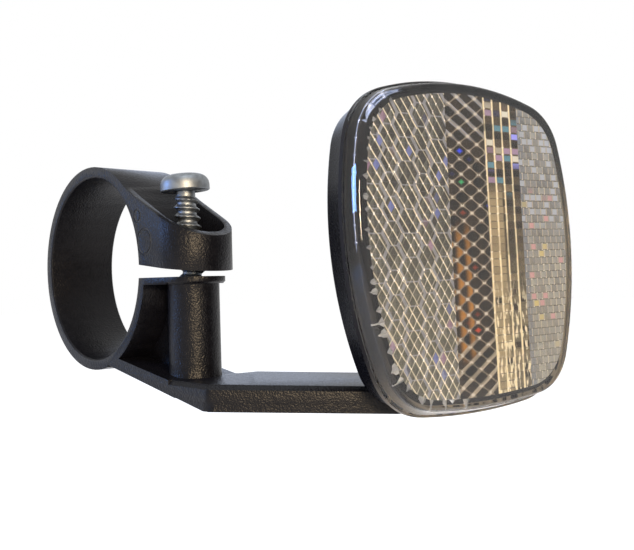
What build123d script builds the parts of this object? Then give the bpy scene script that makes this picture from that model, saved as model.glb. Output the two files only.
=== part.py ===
"""Front reflector on a handlebar clamp bracket.

Frame: origin at the centre of the clamp bore, +X along the handlebar, -Y forward
(the way the reflector faces), +Z up along the screw post. All sizes in mm, angles
in degrees. A forward distance is counted along -Y.
"""

import math
import os

from build123d import *

os.makedirs("parts", exist_ok=True)

# Clamp ring
bar_d = 31.8                    # handlebar that the clamp fits
ring_wall = 1.85
band_w = 12.8                   # width of the ring along the bar
rim_bevel = 0.25                # light break on the rims of the bore

# Screw post and screw line
post_gap = 4.45                 # post axis, forward of the ring's outside
post_foot_d = 8.4
post_draft = 0.2
post_root = 0.5                 # sunk into the block
screw_lean = 3.4                # the raised screw stands this far off the upright
screw_lean_side = 137.85        # the way its head leans, counted from +X toward +Y
screw_cross_z = -4.3            # where the screw line meets the post axis

# Upper lug
lip_upper_z = 0.16              # underside of the lug at the bore
lug_drop = 0.113                # fall of the underside per mm forward
lug_top_start = 5.4             # forward place where the lug leaves the ring
lug_bend_off = 1.11             # bend of the lug's top, off the ring's outside
lug_bend_at = 36.81             # angle of that bend above forward
lug_top_tip_z = 4.3
lug_wall = 1.2
lug_r = 6.35                    # rounded end of the lug
pocket_floor_z = 1.9

# Flange of the lower half
lip_lower_z = -2.0
flange_t = 1.15
flange_r = 5.1
flange_bevel = 0.35

# Web, brace and base block
web_t = 1.9
brace_t = 1.9
brace_fall = 0.1909             # fall of the brace's underside per mm forward
brace_from = 16.67              # angle forward of straight down where its underside leaves the ring
brace_root = 0.422              # start of the underside, inside the ring's outside
block_from = 1.9                # brace runs out into the block, forward of the post axis
block_past = 12.2               # front of the block, forward of the post axis
block_drop = 0.22               # block's top below the ring
block_t = 3.98
mould_line_drop = 2.59          # moulding line below the block's top
mould_step = 0.2
edge_bevel = 0.72
corner_r = 1.4                  # front corner of block and arm, above the moulding line
corner_low_r = 3.0              # the same below it

# Arm
arm_turn = 40.0                 # forward of the bar's direction
arm_w = 13.0
arm_fall = 0.041                # drop per mm of arm
arm_back_rise = 0.75            # far edge above the near one
arm_flare = 7.0                 # stretch in which the top takes on that slope
arm_reach = 60.0                # drawn length, trimmed behind the reflector
arm_inner_r = 7.0

# Reflector placing
refl_toe = 7.0                  # turned toward the clamp's side
refl_lean = 3.1                 # leaned back
refl_roll = 1.0                 # turned on its fixing screw
refl_x = 24.3                   # middle of the front face
refl_past = 26.0                # forward of the block
refl_rise = 19.62               # above the block's top

# Reflector outline
front_half_w = 21.8
front_top = 23.9
front_bottom = -23.85
flange_half_w = 22.5
flange_top = 24.7
flange_bottom = -24.9
side_arc_r = 60.0
top_arc_r = 51.0
bottom_arc_r = 100.0
front_corner_r = 8.3
flange_corner_r = 9.8
widest_at = 2.3                 # height of the widest place

# Lens
lens_depth = 2.6                # front face to flange
lens_flange_t = 1.0
foot_inset = 0.35               # flange beyond the foot of the lens body
skirt_t = 1.4
face_t = 1.5
lens_edge_r = 0.6
field_depth = 0.8               # prism fields behind the face
field_clear = 0.5               # prism fields to the skirt
field_gap = 0.25
field_splits = (-4.0, 3.8, 10.9)

# Shell
shell_depth = 4.8
shell_inset = 0.3               # shell inside the flange's edge
shell_draft = 1.05              # how much smaller its back is
shell_wall = 1.5
shell_back_t = 1.5
shell_edge_r = 0.7
boss_r = 4.2
boss_gap = 0.4                  # boss end to the rim's plane

# Pad behind the reflector
pad_half_w = 10.5
pad_t = 3.0
pad_top = 7.0                   # above the fixing screw
pad_corner_r = 4.0
pad_lift = 0.5                  # foot of the pad above the arm's underside
fix_height = -2.0               # fixing screw on the shell's back

# Self-tapping screws, ST 4.2
thread_r = 2.08
core_r = 1.5
pitch = 1.4
crest = 0.18                    # flat of a thread crest
head_r = 3.95
head_h = 2.7
head_flat_r = 2.0               # flat left on top of the head
head_side_h = 1.0               # upright rim of the head
head_dome_r = 2.3
recess_w = 4.4
recess_slot = 1.05
recess_depth = 1.6
recess_taper = 8.0
clamp_screw_l = 19.0
fix_screw_l = 6.5
tip_l = 2.2
tip_r = 0.4
thread_fit = 0.06               # radial clearance of the thread in its bore
hole_over = 0.65                # radial clearance of the holes it passes
seat_over = 0.4                 # radial clearance of the head's seat
seat_sink = 0.3                 # seat below the pocket's floor
bore_over = 0.8                 # bore beyond the tip of the driven screw
head_lift = 10.25               # head underside above its seat, as raised

# Worked out: clamp and block
bore_r = bar_d / 2
ring_r = bore_r + ring_wall
half_band = band_w / 2
post_fwd = ring_r + post_gap
post_y = -post_fwd
lug_tip = post_fwd + lug_r
lug_bend = math.radians(lug_bend_at)
lug_top_mid = ((ring_r + lug_bend_off) * math.cos(lug_bend), (ring_r + lug_bend_off) * math.sin(lug_bend))
lug_tip_z = lip_upper_z - lug_drop * (lug_tip - bore_r)
ring_in = bore_r + ring_wall / 2
split_end = lug_tip + lug_r
block_top_z = -ring_r - block_drop
block_start = post_fwd + block_from
block_end = post_fwd + block_past
block_bottom_z = block_top_z - block_t
mould_z = block_top_z - mould_line_drop
brace_swing = math.radians(brace_from)
brace_start = ((ring_r - brace_root) * math.sin(brace_swing), -(ring_r - brace_root) * math.cos(brace_swing))
brace_end = brace_start[0] + (brace_start[1] - block_bottom_z) / brace_fall
brace_rise = brace_t * math.sqrt(1 + brace_fall ** 2)
lean = math.radians(screw_lean)
side = math.radians(screw_lean_side)
screw_up = Vector(math.sin(lean) * math.cos(side), math.sin(lean) * math.sin(side), math.cos(lean))
screw_foot = Vector(0, post_y, screw_cross_z)
seat_up = (pocket_floor_z - seat_sink - screw_cross_z) / math.cos(lean)
head_up = seat_up + head_lift
seat_r = head_r + seat_over
bore_end_up = seat_up - clamp_screw_l - bore_over
screw_line = Plane(origin=screw_foot, z_dir=screw_up)

# Worked out: reflector's plane (X to its right, Y up its face, Z out of its front)
toe = math.radians(refl_toe)
tilt = math.radians(refl_lean)
refl_out = Vector(-math.sin(toe) * math.cos(tilt), -math.cos(toe) * math.cos(tilt), math.sin(tilt))
refl_right = Vector(math.cos(toe), -math.sin(toe), 0)
roll = math.radians(refl_roll)
refl_across = refl_right * math.cos(roll) + refl_out.cross(refl_right) * math.sin(roll)
refl_fwd = block_end + refl_past
refl_z = block_top_z + refl_rise
front = Plane(origin=(refl_x, -refl_fwd, refl_z), x_dir=refl_across, z_dir=refl_out)
rim_at = -lens_depth - lens_flange_t
back_at = rim_at - shell_depth
pad_at = back_at - pad_t

# Worked out: arm
turn = math.radians(arm_turn)
arm_dir = Vector(math.cos(turn), -math.sin(turn), 0)
arm_back = Vector(math.sin(turn), math.cos(turn), 0)
arm_corner = Vector(-half_band, -block_end, 0)


def outline(sketch, half_w, top, bottom, round_r):
    """Draw the reflector's rounded outline from four arcs in the given sketch."""
    with Locations((0, top - top_arc_r)):
        Circle(top_arc_r)
    with Locations((0, bottom + bottom_arc_r)):
        Circle(bottom_arc_r, mode=Mode.INTERSECT)
    with Locations((half_w - side_arc_r, widest_at)):
        Circle(side_arc_r, mode=Mode.INTERSECT)
    with Locations((side_arc_r - half_w, widest_at)):
        Circle(side_arc_r, mode=Mode.INTERSECT)
    fillet(sketch.vertices(), round_r)


def inset_outline(sketch, inset):
    """Draw the flange's outline made smaller all round by the given inset."""
    outline(
        sketch,
        flange_half_w - inset,
        flange_top - inset,
        flange_bottom + inset,
        flange_corner_r - inset,
    )


def screw_points(length, under):
    """List the corners of a screw's half section below its head's dome, down to the tip."""
    turns = int((length - tip_l - pitch) / pitch)
    points = [(head_r, under + head_side_h), (head_r, under), (core_r, under)]
    z = under - pitch / 2
    for _ in range(turns):
        points.append((core_r, z))
        points.append((thread_r, z - pitch / 2 + crest / 2))
        points.append((thread_r, z - pitch / 2 - crest / 2))
        z -= pitch
    points.append((core_r, z))
    points.append((core_r, under - length + tip_l))
    points.append((tip_r, under - length))
    points.append((0, under - length))
    return points


# Clamp ring with the light break on its rims.
with BuildPart() as ring:
    with BuildSketch(Plane.YZ.offset(-half_band)):
        Circle(ring_r)
        Circle(bore_r, mode=Mode.SUBTRACT)
    extrude(amount=band_w)
    chamfer(ring.edges().filter_by(GeomType.CIRCLE).sort_by(SortBy.RADIUS)[:2], rim_bevel)

# Upper lug: side profile, trimmed to its rounded plan.
with BuildPart() as lug:
    with BuildSketch(Plane.YZ):
        with BuildLine():
            Polyline(
                (-lug_top_start, math.sqrt(ring_r ** 2 - lug_top_start ** 2)),
                (-lug_top_mid[0], lug_top_mid[1]),
                (-lug_tip, lug_top_tip_z),
                (-lug_tip, lug_tip_z),
                (-ring_in, lip_upper_z + lug_drop * (bore_r - ring_in)),
                (-lug_top_start, math.sqrt(ring_in ** 2 - lug_top_start ** 2)),
                close=True,
            )
        make_face()
        Circle(ring_in, mode=Mode.SUBTRACT)
    extrude(amount=half_band, both=True)
    with BuildSketch(Plane.XY):
        with BuildLine():
            Polyline(
                (-half_band, 0),
                (-half_band, -bore_r),
                (-lug_r, post_y),
                (lug_r, post_y),
                (half_band, -bore_r),
                (half_band, 0),
                close=True,
            )
        make_face()
        with Locations((0, post_y)):
            Circle(lug_r)
    extrude(amount=bar_d, both=True, mode=Mode.INTERSECT)
    # Room for the screw's head, open at the top and closed by the ring's outside.
    with BuildSketch(Plane.XY.offset(pocket_floor_z)):
        with Locations((0, post_y / 2)):
            Rectangle(2 * (lug_r - lug_wall), post_fwd)
        with Locations((0, post_y)):
            Circle(lug_r - lug_wall)
    extrude(amount=bar_d, mode=Mode.SUBTRACT)

# Flange plate of the lower half, with a bevel under its rounded end.
with BuildPart() as flange:
    with BuildSketch(Plane.XY.offset(lip_lower_z)):
        with Locations((0, post_y)):
            Circle(flange_r)
    extrude(amount=-flange_t)
    chamfer(flange.edges().group_by(Axis.Z)[0], flange_bevel)
    with BuildSketch(Plane.XY.offset(lip_lower_z)):
        with BuildLine():
            Polyline(
                (-half_band, -ring_in),
                (-half_band, -ring_r),
                (-flange_r, post_y),
                (flange_r, post_y),
                (half_band, -ring_r),
                (half_band, -ring_in),
                close=True,
            )
        make_face()
    extrude(amount=-flange_t)

# Post, slimmer toward its top.
with BuildPart() as post:
    with BuildSketch(Plane.XY.offset(block_top_z - post_root)):
        with Locations((0, post_y)):
            Circle(post_foot_d / 2)
    extrude(amount=lip_lower_z - block_top_z + post_root, taper=post_draft)

# Brace and base block.
with BuildPart() as block:
    with BuildSketch(Plane.YZ):
        with BuildLine():
            Polyline(
                (-brace_start[0], brace_start[1]),
                (-brace_start[0] - 2 * brace_t, brace_start[1] - 2 * brace_t * brace_fall + brace_rise),
                (-block_start, block_top_z),
                (-block_end, block_top_z),
                (-block_end, block_bottom_z),
                (-brace_end, block_bottom_z),
                close=True,
            )
        make_face()
    extrude(amount=half_band, both=True)
    # Bevel along the block's near upper edge.
    with BuildSketch(Plane.XZ.offset(block_start)):
        with BuildLine():
            Polyline(
                (-half_band, block_top_z),
                (-half_band + edge_bevel, block_top_z),
                (-half_band, block_top_z - edge_bevel),
                close=True,
            )
        make_face()
    extrude(amount=block_end - block_start, mode=Mode.SUBTRACT)
    # Step at the moulding line.
    with BuildSketch(Plane.XY.offset(mould_z)):
        with Locations((-half_band, -block_end)):
            Rectangle(2 * mould_step, 2 * (block_end - block_start), align=(Align.CENTER, Align.CENTER))
    extrude(amount=block_bottom_z - mould_z, mode=Mode.SUBTRACT)

# Arm: runs forward and along the handlebar, falling slightly.
with BuildPart() as arm:
    for run, rise in ((0.0, 0.0), (arm_flare, arm_back_rise), (arm_reach, arm_back_rise)):
        fall = arm_fall * run
        with BuildSketch(Plane(origin=arm_corner + arm_dir * run, x_dir=arm_back, z_dir=arm_dir)):
            with BuildLine():
                Polyline(
                    (0, block_top_z - edge_bevel - fall),
                    (edge_bevel, block_top_z - fall),
                    (arm_w, block_top_z + rise - fall),
                    (arm_w, block_bottom_z - fall),
                    (mould_step, block_bottom_z - fall),
                    (mould_step, mould_z - fall),
                    (0, mould_z - fall),
                    close=True,
                )
            make_face()
    loft(ruled=True)
    # It stops behind the reflector, and flush with the pad's far side.
    with BuildSketch(front.offset(back_at)):
        Rectangle(4 * arm_reach, 4 * arm_reach)
    extrude(amount=arm_reach, mode=Mode.SUBTRACT)
    far_side = Plane(origin=front.from_local_coords(Vector(pad_half_w, 0, 0)), z_dir=refl_across)
    with BuildSketch(far_side):
        Rectangle(4 * arm_reach, 4 * arm_reach)
    extrude(amount=arm_reach, mode=Mode.SUBTRACT)

# Upright pad behind the reflector.
arm_run = (refl_fwd + back_at - block_end) / math.sin(turn)
pad_foot_z = block_bottom_z - arm_fall * arm_run
pad_high = fix_height + pad_top
pad_low = (pad_foot_z + pad_lift - refl_z - back_at * math.sin(tilt)) / math.cos(tilt)
with BuildPart() as pad:
    with BuildSketch(front.offset(back_at)) as pad_face:
        with Locations((0, (pad_high + pad_low) / 2)):
            Rectangle(2 * pad_half_w, pad_high - pad_low)
        fillet(pad_face.vertices().group_by(Axis.Y)[-1], pad_corner_r)
    extrude(amount=-pad_t)

# Corner fill between the block's far side and the arm's back edge.
far_run = (2 * half_band - arm_w * math.sin(turn)) / math.cos(turn)
corner = arm_corner + arm_back * arm_w + arm_dir * far_run
fill_len = arm_inner_r * math.tan((math.pi / 2 - turn) / 2)
fill_from = corner + Vector(0, fill_len, 0)
fill_to = corner + arm_dir * fill_len
with BuildPart() as corner_fill:
    with BuildSketch(Plane.XY.offset(block_bottom_z)):
        with BuildLine():
            Line((corner.X - corner_r, fill_from.Y), (fill_from.X, fill_from.Y))
            swing = TangentArc((fill_from.X, fill_from.Y), (fill_to.X, fill_to.Y), tangent=(0, -1))
            Line(swing @ 1, (corner.X - corner_r, corner.Y - corner_r))
            Line((corner.X - corner_r, corner.Y - corner_r), (corner.X - corner_r, fill_from.Y))
        make_face()
    extrude(amount=block_top_z - block_bottom_z)

with BuildPart() as bracket:
    add(block.part)
    add(arm.part)
    add(pad.part)
    add(corner_fill.part)
    add(post.part)
    add(flange.part)
    add(ring.part)
    add(lug.part)
    # Rounded front corner of block and arm, rounder below the moulding line.
    for top_z, bottom_z, inset, radius in (
        (block_top_z, mould_z, 0, corner_r),
        (mould_z, block_bottom_z, mould_step, corner_low_r),
    ):
        half_turn = (math.pi / 2 - turn) / 2
        tip = arm_corner + Vector(inset, inset * math.tan(half_turn), 0)
        reach = radius * math.tan(half_turn)
        on_arm = tip + arm_dir * reach
        with BuildSketch(Plane.XY.offset(top_z)):
            with BuildLine():
                Line((arm_corner.X - arm_w, tip.Y + reach), (tip.X, tip.Y + reach))
                bend = TangentArc((tip.X, tip.Y + reach), (on_arm.X, on_arm.Y), tangent=(0, -1))
                Polyline(
                    bend @ 1,
                    (on_arm.X, arm_corner.Y - arm_w),
                    (arm_corner.X - arm_w, arm_corner.Y - arm_w),
                    (arm_corner.X - arm_w, tip.Y + reach),
                )
            make_face()
        extrude(amount=bottom_z - top_z, mode=Mode.SUBTRACT)
    # Web between ring and post.
    with BuildSketch(Plane.YZ.offset(-web_t / 2)):
        with BuildLine():
            Polyline(
                (-ring_in, lip_lower_z - flange_t / 2),
                (post_y, lip_lower_z - flange_t / 2),
                (post_y, block_top_z + brace_fall),
                (-brace_start[0] - 2 * brace_t, brace_start[1]),
                close=True,
            )
        make_face()
        Circle(ring_in, mode=Mode.SUBTRACT)
    extrude(amount=web_t)
    # Small notch where the brace leaves the ring.
    with BuildSketch(Plane.YZ.offset(-half_band)):
        with BuildLine():
            Polyline(
                (-brace_start[0], brace_start[1]),
                (-brace_start[0], -ring_r),
                (-ring_in / 2, -ring_r),
                (-ring_in / 2, brace_start[1] - brace_fall * (ring_in / 2 - brace_start[0])),
                close=True,
            )
        make_face()
    extrude(amount=band_w, mode=Mode.SUBTRACT)
    # Split between the lips.
    with BuildSketch(Plane.YZ):
        with BuildLine():
            Polyline(
                (-bore_r / 2, lip_upper_z + lug_drop * bore_r / 2),
                (-split_end, lip_upper_z - lug_drop * (split_end - bore_r)),
                (-split_end, lip_lower_z),
                (-bore_r / 2, lip_lower_z),
                close=True,
            )
        make_face()
    extrude(amount=band_w, both=True, mode=Mode.SUBTRACT)
    # Screw hole in the lug, the seat of its head, and its bore in the post.
    with BuildSketch(screw_line):
        Circle(thread_r + hole_over)
    extrude(amount=seat_up + head_h, mode=Mode.SUBTRACT)
    with BuildSketch(screw_line.offset(seat_up)):
        Circle(seat_r)
    extrude(amount=head_up + head_h, mode=Mode.SUBTRACT)
    with BuildSketch(screw_line.offset(bore_end_up)):
        Circle(thread_r + thread_fit)
    extrude(amount=-bore_end_up + pitch, mode=Mode.SUBTRACT)
    # Hole for the fixing screw in the pad.
    with BuildSketch(front.offset(back_at)):
        with Locations((0, fix_height)):
            Circle(thread_r + hole_over)
    extrude(amount=-pad_t, mode=Mode.SUBTRACT)

# Clear lens: face, skirt, flange and four prism fields behind the face.
with BuildPart() as lens:
    with BuildSketch(front) as shape:
        outline(shape, front_half_w, front_top, front_bottom, front_corner_r)
    with BuildSketch(front.offset(-lens_depth)) as shape:
        inset_outline(shape, foot_inset)
    loft(ruled=True)
    fillet(lens.edges().group_by(Axis(front.origin, refl_out))[-1], lens_edge_r)
    with BuildSketch(front.offset(rim_at)) as shape:
        inset_outline(shape, 0)
    extrude(amount=lens_flange_t)
    with BuildSketch(front.offset(rim_at)) as shape:
        inset_outline(shape, foot_inset + skirt_t)
    extrude(amount=-rim_at - face_t, mode=Mode.SUBTRACT)
    for low, high in zip((-flange_half_w, *field_splits), (*field_splits, flange_half_w)):
        with BuildSketch(front.offset(-face_t)) as shape:
            inset_outline(shape, foot_inset + skirt_t + field_clear)
            with Locations(((low + high) / 2, 0)):
                Rectangle(high - low - field_gap, flange_top - flange_bottom, mode=Mode.INTERSECT)
        extrude(amount=-field_depth)

# Black shell behind the lens, with the boss that takes the fixing screw.
with BuildPart() as shell:
    with BuildSketch(front.offset(rim_at)) as shape:
        inset_outline(shape, shell_inset)
    with BuildSketch(front.offset(back_at)) as shape:
        inset_outline(shape, shell_inset + shell_draft)
    loft(ruled=True)
    fillet(shell.edges().group_by(Axis(front.origin, refl_out))[0], shell_edge_r)
    with BuildSketch(front.offset(back_at + shell_back_t)) as shape:
        inset_outline(shape, shell_inset + shell_draft + shell_wall)
    extrude(amount=shell_depth - shell_back_t, mode=Mode.SUBTRACT)
    with BuildSketch(front.offset(back_at)):
        with Locations((0, fix_height)):
            Circle(boss_r)
    extrude(amount=shell_depth - boss_gap)
    with BuildSketch(front.offset(back_at)):
        with Locations((0, fix_height)):
            Circle(thread_r + thread_fit)
    extrude(amount=shell_depth, mode=Mode.SUBTRACT)

# Clamp screw, raised in its hole, and fixing screw, its head behind the pad.
fix_line = Plane(
    origin=front.from_local_coords(Vector(0, fix_height, pad_at)),
    x_dir=-refl_across,
    z_dir=-refl_out,
)
screws = {
    "clamp_screw": (screw_line, clamp_screw_l, head_up),
    "fixing_screw": (fix_line, fix_screw_l, 0),
}
for name, (line, length, under) in screws.items():
    head_top = under + head_h
    with BuildPart() as screw:
        with BuildSketch(Plane(origin=line.origin, x_dir=line.x_dir, z_dir=line.x_dir.cross(line.z_dir))):
            with BuildLine():
                Line((0, under - length), (0, head_top))
                Line((0, head_top), (head_flat_r, head_top))
                RadiusArc((head_flat_r, head_top), (head_r, under + head_side_h), head_dome_r)
                Polyline(*screw_points(length, under))
            make_face()
        revolve(axis=Axis(line.origin, line.z_dir))
        with BuildSketch(line.offset(head_top)):
            Rectangle(recess_w, recess_slot)
            Rectangle(recess_slot, recess_w)
        extrude(amount=-recess_depth, taper=recess_taper, mode=Mode.SUBTRACT)
    screw.part.label = name
    export_step(screw.part, f"parts/{name}.step")

bracket.part.label = "bracket"
lens.part.label = "reflector_lens"
shell.part.label = "reflector_shell"
export_step(bracket.part, "parts/bracket.step")
export_step(lens.part, "parts/reflector_lens.step")
export_step(shell.part, "parts/reflector_shell.step")
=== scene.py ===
import logging
import math
from dataclasses import dataclass
from enum import Enum
from functools import reduce

import bmesh
import bpy
import numpy as np
from mathutils import Matrix, Vector


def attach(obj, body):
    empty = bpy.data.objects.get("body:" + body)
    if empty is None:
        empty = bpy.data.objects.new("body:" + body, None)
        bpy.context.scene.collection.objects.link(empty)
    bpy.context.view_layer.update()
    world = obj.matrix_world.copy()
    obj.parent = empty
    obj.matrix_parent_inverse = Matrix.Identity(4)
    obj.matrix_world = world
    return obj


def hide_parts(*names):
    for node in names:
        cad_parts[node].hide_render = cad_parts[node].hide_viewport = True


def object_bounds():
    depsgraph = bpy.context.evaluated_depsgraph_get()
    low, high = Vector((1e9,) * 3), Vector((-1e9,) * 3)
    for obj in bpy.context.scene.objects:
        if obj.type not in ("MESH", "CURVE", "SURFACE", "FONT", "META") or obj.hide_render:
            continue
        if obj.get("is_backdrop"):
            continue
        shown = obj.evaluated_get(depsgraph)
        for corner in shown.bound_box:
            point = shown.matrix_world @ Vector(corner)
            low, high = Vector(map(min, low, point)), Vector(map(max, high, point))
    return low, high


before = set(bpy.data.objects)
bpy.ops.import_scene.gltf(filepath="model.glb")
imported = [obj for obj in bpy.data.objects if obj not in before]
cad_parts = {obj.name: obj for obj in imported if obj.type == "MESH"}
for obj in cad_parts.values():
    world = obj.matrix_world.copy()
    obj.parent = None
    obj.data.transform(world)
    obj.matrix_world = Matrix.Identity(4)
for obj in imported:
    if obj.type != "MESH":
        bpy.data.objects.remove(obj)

# Front reflector on a handlebar clamp bracket. Places are in the frame of the
# solids: origin at the centre of the clamp's bore, +X along the handlebar, -Y
# forward, +Z up. Sizes in the classes are millimetres; meshes are in metres.

LOG = logging.getLogger("reflector")
MM = 0.001
WELD = 0.001 * MM
TURN = 2.0 * math.pi
Array = np.ndarray
Piece = bpy.types.Object
Material = bpy.types.Material
Socket = bpy.types.NodeSocket
Triple = tuple[float, float, float]
Colour = Triple


class Band(Enum):
    """Kind of prism in one field of the lens."""

    HEX = "hexagonal corner cubes"
    DIAMOND = "drawn-out corner cubes"
    ROOF = "rows of roof prisms"
    PYRAMID = "small square corners"


# Mesh helpers


def grid_faces(rows: int, cols: int, closed: bool = True) -> Array:
    """Number the quads of a grid of points, row after row.

    Args:
        rows: number of rows of points.
        cols: number of points in a row.
        closed: whether the last point of a row joins the first.

    Returns:
        Array of quads, four point numbers each.
    """
    span = cols if closed else cols - 1
    row, col = np.meshgrid(np.arange(rows - 1), np.arange(span), indexing="ij")
    after = (col + 1) % cols
    quads = [row * cols + col, row * cols + after, (row + 1) * cols + after, (row + 1) * cols + col]
    return np.stack(quads, axis=-1).reshape(-1, 4)


def make_piece(name: str, points: Array, faces: list[Array], smooth: bool = True) -> Piece:
    """Put computed points and faces into a new object at the origin.

    Args:
        name: name of the piece.
        points: points in metres, one row each.
        faces: arrays of triangles or quads that number those points.
        smooth: whether faces are shaded smooth.

    Returns:
        The new object.
    """
    mesh = bpy.data.meshes.new(name)
    mesh.from_pydata(points.tolist(), [], [f for block in faces for f in block.tolist()])
    mesh.polygons.foreach_set("use_smooth", np.full(len(mesh.polygons), smooth))
    mesh.update()
    piece = bpy.data.objects.new(name, mesh)
    bpy.context.scene.collection.objects.link(piece)
    return piece


def tube_faces(rows: int, cols: int) -> list[Array]:
    """Number the faces of a grid closed round, with a fan at each end.

    Args:
        rows: number of rows of points.
        cols: number of points in a row.

    Returns:
        The quads, then the fans to the two end middles, which follow the grid's points.
    """
    total = rows * cols
    here = np.arange(cols)
    after = (here + 1) % cols
    first = np.stack([np.full(cols, total), after, here], axis=-1)
    start = total - cols
    last = np.stack([np.full(cols, total + 1), start + here, start + after], axis=-1)
    return [grid_faces(rows, cols), first, last]


def face_outward(piece: Piece, merge: float | None = None) -> None:
    """Turn the faces of a closed piece outward, after merging close points where asked.

    Args:
        piece: the piece to clean.
        merge: merging distance in metres, or None to merge nothing.
    """
    work = bmesh.new()
    work.from_mesh(piece.data)
    if merge is not None:
        bmesh.ops.remove_doubles(work, verts=work.verts, dist=merge)
    bmesh.ops.recalc_face_normals(work, faces=work.faces)
    work.to_mesh(piece.data)
    work.free()


def soften(piece: Piece, width: float, angle: float) -> None:
    """Round a piece's sharp edges with a small bevel and keep its flats flat.

    Args:
        piece: the piece to soften.
        width: width of the rounding in metres.
        angle: edges that turn by more than this, in degrees, are rounded.
    """
    bevel = piece.modifiers.new("soft edges", "BEVEL")
    bevel.width = width
    bevel.segments = 2
    bevel.limit_method = "ANGLE"
    bevel.angle_limit = math.radians(angle)
    bevel.harden_normals = True


# Placing


@dataclass(frozen=True)
class ReflectorPlane:
    """Plane of the lens's front face: a to its right, b up its face, depth behind it."""

    centre: Triple = (24.3, -60.4, 1.65)
    toe: float = 7.0
    lean: float = 3.1
    roll: float = 1.0

    def axes(self) -> tuple[Array, Array, Array]:
        """Unit vectors across the face, up the face and out of it."""
        toe, lean, roll = (math.radians(v) for v in (self.toe, self.lean, self.roll))
        out = np.array(
            [-math.sin(toe) * math.cos(lean), -math.cos(toe) * math.cos(lean), math.sin(lean)]
        )
        level = np.array([math.cos(toe), -math.sin(toe), 0.0])
        across = level * math.cos(roll) + np.cross(out, level) * math.sin(roll)
        return across, np.cross(out, across), out

    def place(self, a: Array, b: Array, depth: Array) -> Array:
        """Put points of the face into the frame.

        Args:
            a: places to the right of the centre, in mm.
            b: places above the centre, in mm.
            depth: distances behind the front face, in mm.

        Returns:
            Points in metres, one row each.
        """
        across, up, out = self.axes()
        a, b, depth = np.broadcast_arrays(a, b, depth)
        spread = np.outer(a.ravel(), across) + np.outer(b.ravel(), up)
        spread = spread - np.outer(depth.ravel(), out)
        return (spread + np.array(self.centre)) * MM


@dataclass(frozen=True)
class Outline:
    """Rounded outline of four large arcs whose corners are rolled off with a small radius."""

    half_w: float
    top: float
    bottom: float
    corner_r: float
    side_r: float = 60.0
    top_r: float = 51.0
    bottom_r: float = 100.0
    widest: float = 2.3
    shift: float = 0.0
    arc_steps: int = 28
    corner_steps: int = 12

    def meet(self, hub_b: float, arc_r: float, sign: float) -> tuple[float, float, float, float]:
        """Hub of a right-hand corner's round, and the directions in which it starts and ends.

        Both arcs are shrunk by the corner's radius. The hub is where the shrunk circles cross:
        along the line of their hubs by the power distance, then square to it.

        Args:
            hub_b: height of the upper or lower arc's hub.
            arc_r: radius of that arc.
            sign: 1 for the upper corner, -1 for the lower one.

        Returns:
            Place a and b of the hub, then the side arc's and the other arc's direction there.
        """
        side_hub = np.array([self.half_w - self.side_r, self.widest])
        one, two = self.side_r - self.corner_r, arc_r - self.corner_r
        gap = np.array([0.0, hub_b]) - side_hub
        length = float(np.hypot(*gap))
        along = (length * length + one * one - two * two) / (2.0 * length)
        off = math.sqrt(one * one - along * along)
        square = np.array([-gap[1], gap[0]]) / length
        middle = side_hub + gap * along / length
        a, b = max((middle + off * square, middle - off * square), key=lambda spot: sign * spot[1])
        return a, b, math.atan2(b - self.widest, a - side_hub[0]), math.atan2(b - hub_b, a)

    def line(self, inset: float = 0.0) -> tuple[Array, Array]:
        """Points all round the outline, counterclockwise from the lower right corner's end.

        At each direction square to the outline, a point is a hub plus the arc's radius less
        the inset along that direction. So an inset keeps the distance to the outline.

        Args:
            inset: distance inside the outline, less than the corner's radius.

        Returns:
            Places a and b of the points, in mm.
        """
        up_b, low_b = self.top - self.top_r, self.bottom + self.bottom_r
        ca, cb, side_up, cap = self.meet(up_b, self.top_r, 1.0)
        da, db, side_low, foot = self.meet(low_b, self.bottom_r, -1.0)
        side_a, wide, side_r = self.half_w - self.side_r, self.widest, self.side_r
        half, round_r = math.pi, self.corner_r
        arc, corner = self.arc_steps, self.corner_steps
        parts = (
            (side_a, wide, side_r, side_low, side_up, arc),
            (ca, cb, round_r, side_up, cap, corner),
            (0.0, up_b, self.top_r, cap, half - cap, arc),
            (-ca, cb, round_r, half - cap, half - side_up, corner),
            (-side_a, wide, side_r, half - side_up, half - side_low, arc),
            (-da, db, round_r, half - side_low, half - foot, corner),
            (0.0, low_b, self.bottom_r, half - foot, TURN + foot, arc),
            (da, db, round_r, foot, side_low, corner),
        )
        a: list[Array] = []
        b: list[Array] = []
        for hub_a, hub_b, r, start, end, steps in parts:
            way = np.linspace(start, end, steps, endpoint=False)
            a.append(hub_a + (r - inset) * np.cos(way))
            b.append(hub_b + (r - inset) * np.sin(way))
        return np.concatenate(a) + self.shift, np.concatenate(b)


FACE = ReflectorPlane()
FACE_CENTRE = tuple(v * MM for v in FACE.centre)
FLANGE = Outline(half_w=22.5, top=24.7, bottom=-24.9, corner_r=9.8)
FRONT = Outline(half_w=21.8, top=23.9, bottom=-23.85, corner_r=8.3)
PLATE = Outline(half_w=20.2, top=22.45, bottom=-22.4, corner_r=8.3, shift=0.6)


def ring_stack(rings: list[tuple[Outline, float, float, float]]) -> tuple[Array, list[Array]]:
    """Join outlines at given insets and depths into one surface that is closed at both ends.

    Args:
        rings: outline, inset, depth and scale toward the centre of each ring, in order.

    Returns:
        Points in metres, and the face arrays; the last two points are the end middles.
    """
    rows = []
    for outline, inset, depth, scale in rings:
        a, b = outline.line(inset)
        rows.append(FACE.place(a * scale, b * scale, np.full_like(a, depth)))
    ends = FACE.place(np.zeros(2), np.zeros(2), np.array([rings[0][2], rings[-1][2]]))
    return np.concatenate([*rows, ends]), tube_faces(len(rows), len(rows[0]))


# Finishes


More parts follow.
